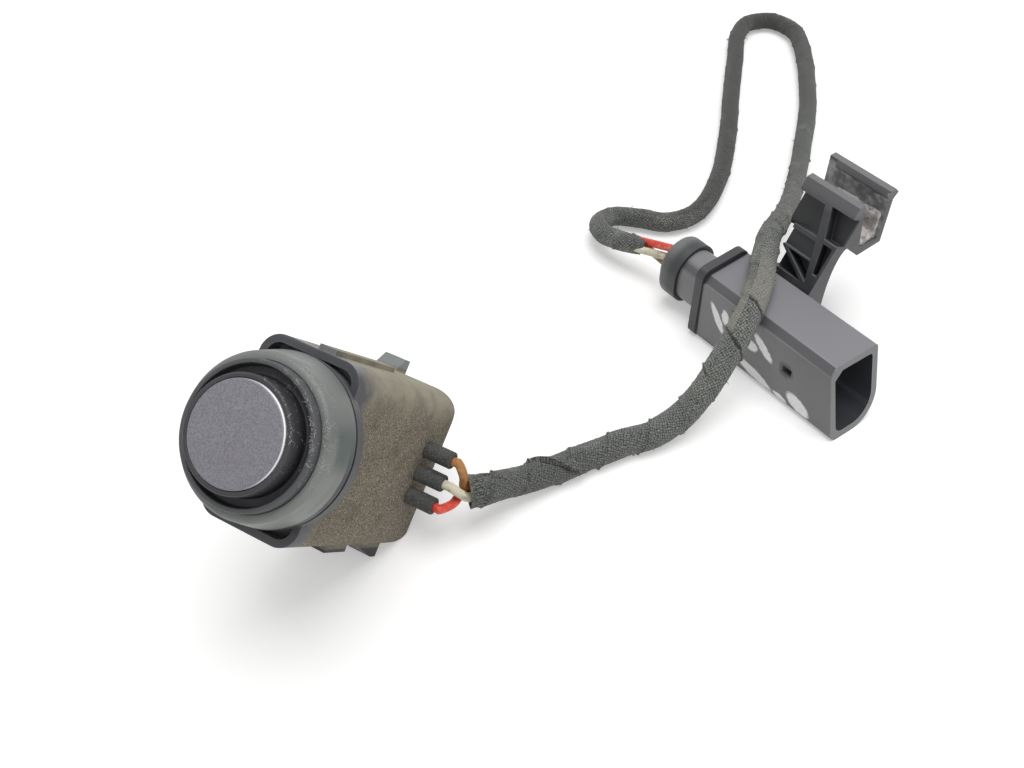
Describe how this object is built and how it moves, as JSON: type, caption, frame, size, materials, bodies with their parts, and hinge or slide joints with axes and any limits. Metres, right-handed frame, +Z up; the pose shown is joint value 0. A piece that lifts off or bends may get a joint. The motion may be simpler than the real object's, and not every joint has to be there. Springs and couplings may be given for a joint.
{
  "type": "parking sensor with pigtail",
  "caption": "Round-faced ultrasonic parking sensor in a dusty latch-in housing, with a taped wire pigtail, a sealed plug connector and a clip-on clamp bracket.",
  "frame": {"origin": "centre of the leaning sensor's footprint, on the surface that it rests on", "axes": "+Z up, +X along the plug towards its open mouth, +Y from the sensor towards the plug"},
  "size_m": [0.1143, 0.2085, 0.0506],
  "materials": {
    "face_paint": "metallic flake, satin",
    "soft_rubber": "matt",
    "black_plastic": "satin, lightly dusty",
    "dusty_plastic": "matt, covered with road dust",
    "satin_plastic": "satin",
    "board": "satin",
    "ferrite": "matt",
    "ceramic": "matt",
    "brass": "plain",
    "tinned_contact": "tinned",
    "red_insulation": "satin",
    "brown_insulation": "satin",
    "white_insulation": "satin",
    "cloth_tape": "woven, matt",
    "seal_rubber": "matt",
    "glue": "rough, whitish"
  },
  "bodies": {
    "root": {"membrane_cup": "face_paint", "piezo_disc": "brass", "damping_plug": "soft_rubber", "piezo_leads": "red_insulation", "decoupling_ring": "soft_rubber", "front_collar": "black_plastic", "sensor_housing": "dusty_plastic", "circuit_board": "board", "transformer": "ferrite", "signal_chip": "black_plastic", "capacitors": "ceramic", "wire_terminals": "brass", "wire_sleeves": "soft_rubber", "brown_wire": "brown_insulation", "white_wire": "white_insulation", "red_wire": "red_insulation", "taped_harness": "cloth_tape", "plug_brown_wire": "brown_insulation", "plug_white_wire": "white_insulation", "plug_red_wire": "red_insulation", "plug_housing": "satin_plastic", "contact_pins": "tinned_contact", "terminal_lock": "black_plastic", "wire_seal": "seal_rubber", "rear_cap": "satin_plastic", "mounting_clip": "black_plastic", "glue_residue": "glue"}
  },
  "joints": []
}
